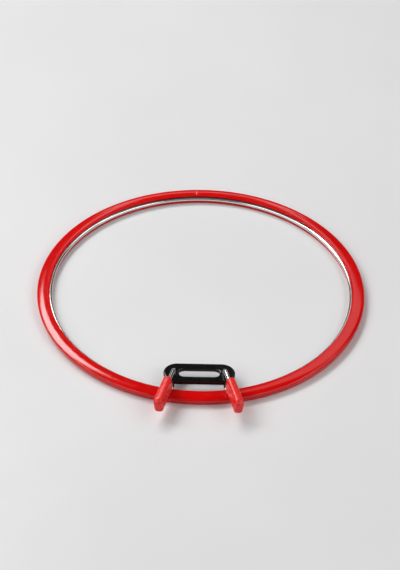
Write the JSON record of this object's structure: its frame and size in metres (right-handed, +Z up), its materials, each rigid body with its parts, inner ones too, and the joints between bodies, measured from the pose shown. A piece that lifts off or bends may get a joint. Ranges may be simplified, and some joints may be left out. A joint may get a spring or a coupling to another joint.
{
  "type": "embroidery hoop",
  "caption": "Spring-tension embroidery hoop: a slim grooved plastic ring holds a snap-in spring wire ring, which a slotted bridge plate and finger grips squeeze for removal.",
  "frame": {"origin": "centre of the hoop, on the plane of the flat face it rests on", "axes": "+Z up, square to the hoop; +Y from the finger grips across the hoop; +X to the right seen from the grips"},
  "size_m": [0.19, 0.202, 0.0137],
  "materials": {
    "hoop_plastic": "glossy deep red",
    "spring_wire": "bright nickel plate",
    "plate_plastic": "glossy black",
    "grip_plastic": "satin red"
  },
  "bodies": {
    "hoop": {"outer_hoop": "hoop_plastic"},
    "inner_ring": {"spring_ring": "spring_wire", "bridge_plate": "plate_plastic"},
    "left_lever": {"left_wire_end": "spring_wire", "left_grip": "grip_plastic"},
    "right_lever": {"right_wire_end": "spring_wire", "right_grip": "grip_plastic"}
  },
  "joints": [
    {"name": "ring_lift", "type": "slide", "parent": "hoop", "child": "inner_ring", "axis": [0, 0, 1], "range_m": [0, 0.025], "deforming": ["spring_ring"]},
    {"name": "left_squeeze", "type": "hinge", "parent": "inner_ring", "child": "left_lever", "pos_m": [-0.0141, -0.07524, 0.0059], "axis": [0, 0, 1], "range_deg": [0, 20], "stiffness_Nm_per_rad": 1.2, "deforming": ["spring_ring"]},
    {"name": "right_squeeze", "type": "hinge", "parent": "inner_ring", "child": "right_lever", "pos_m": [0.0141, -0.07524, 0.0059], "axis": [0, 0, 1], "range_deg": [-20, 0], "stiffness_Nm_per_rad": 1.2, "deforming": ["spring_ring"]}
  ],
  "couplings": [
    {"joint": "right_squeeze", "follows": "left_squeeze", "ratio": -1}
  ]
}
